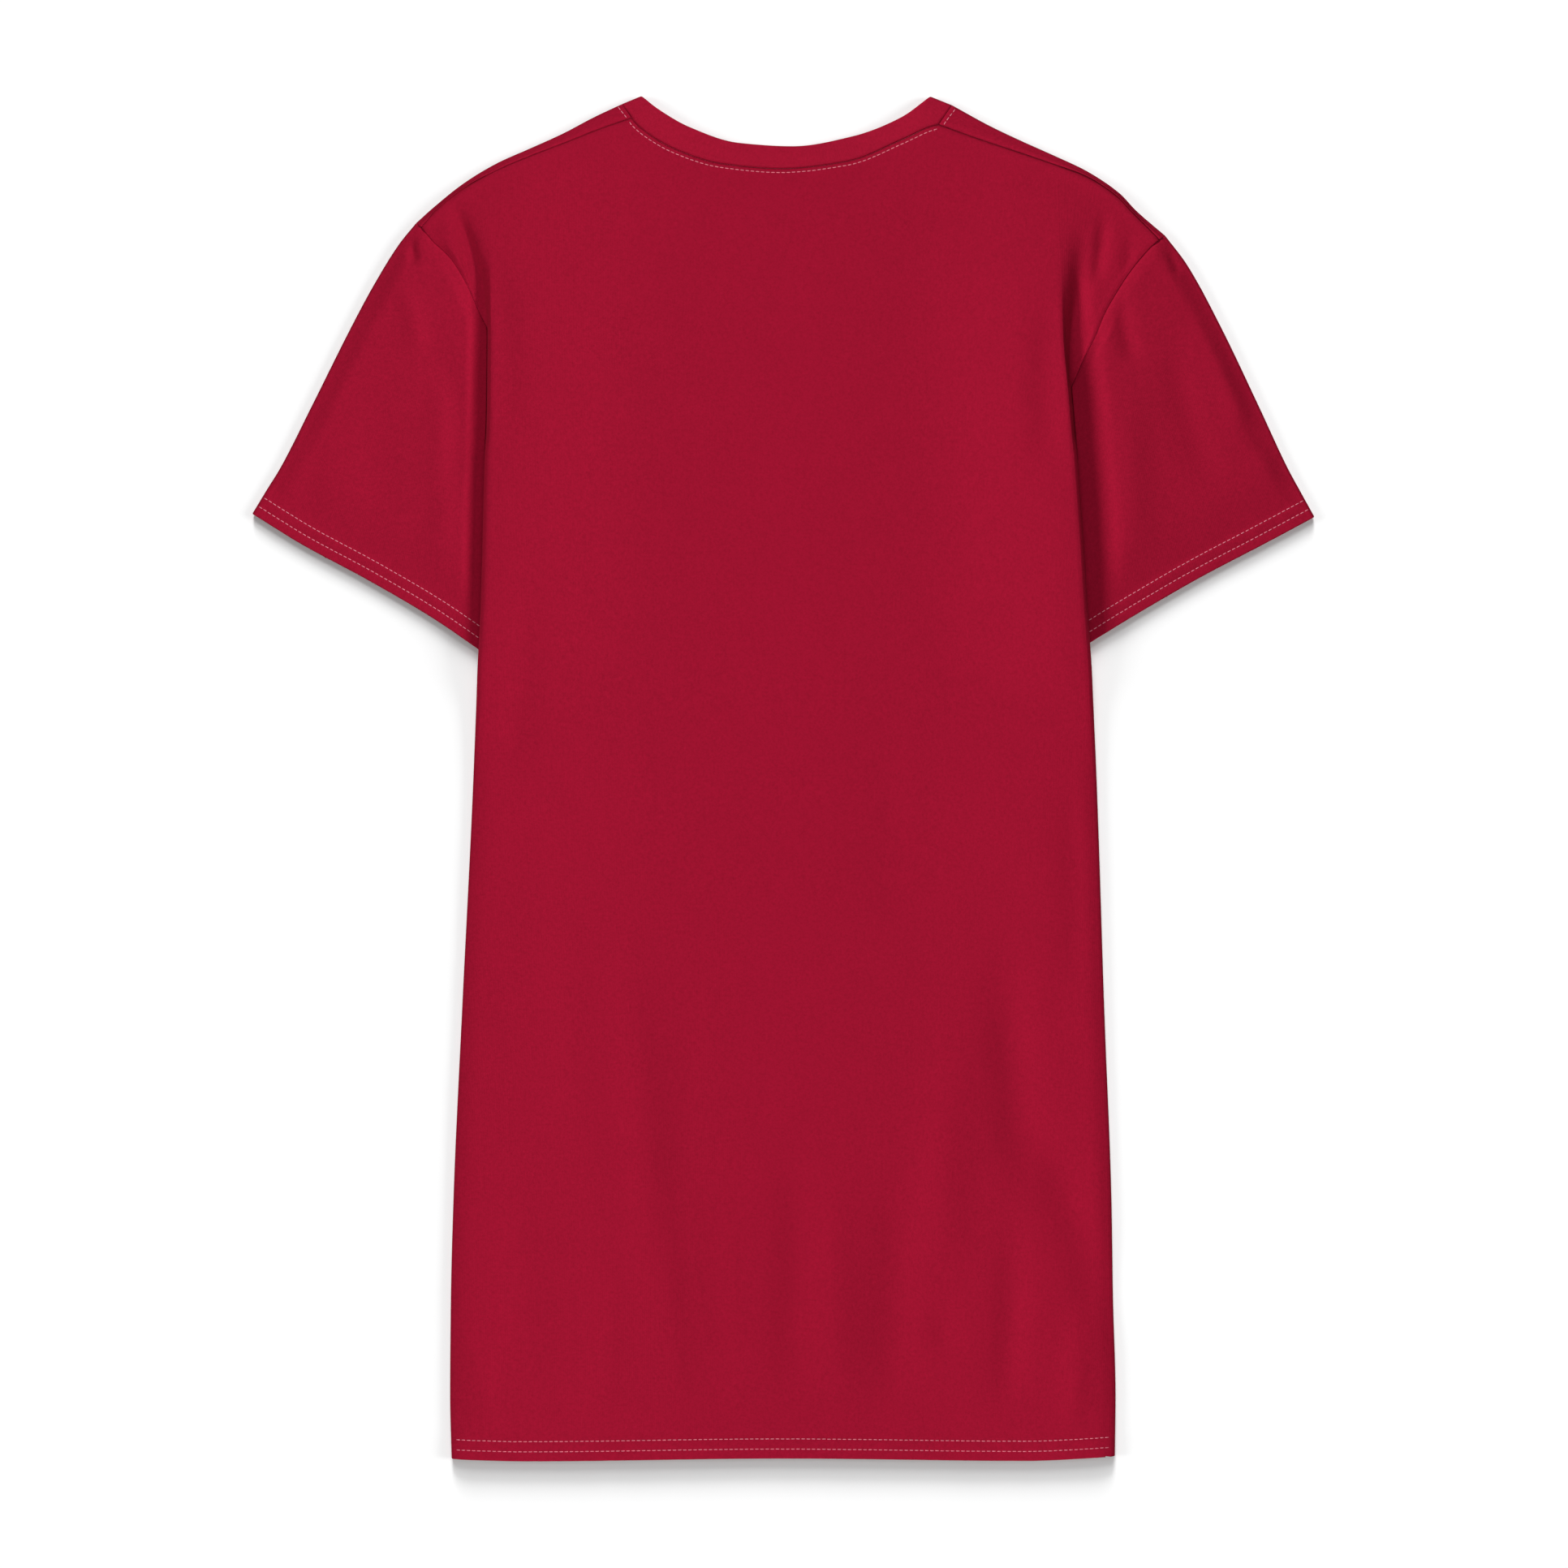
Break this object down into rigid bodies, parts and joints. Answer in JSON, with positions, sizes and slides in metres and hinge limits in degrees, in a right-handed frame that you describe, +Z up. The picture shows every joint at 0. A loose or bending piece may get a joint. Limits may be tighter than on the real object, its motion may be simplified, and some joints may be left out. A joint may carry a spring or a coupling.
{
  "type": "t-shirt dress, laid flat",
  "caption": "Short-sleeved cotton jersey t-shirt dress with a ribbed round neck, laid flat on its front with its back up.",
  "frame": {"origin": "middle of the laid dress's length and width, on the surface that it lies on", "axes": "+X towards the wearer's right sleeve, +Y from the hem to the neck, +Z up, out of the back of the dress"},
  "size_m": [0.6816, 0.8754, 0.009],
  "materials": {
    "jersey": "matt cotton jersey, crimson",
    "rib": "matt cotton rib, crimson, folded double"
  },
  "bodies": {
    "root": {"back_panel": "jersey", "front_panel": "jersey", "sleeve_left": "jersey", "sleeve_right": "jersey", "neck_rib": "rib"}
  },
  "joints": []
}
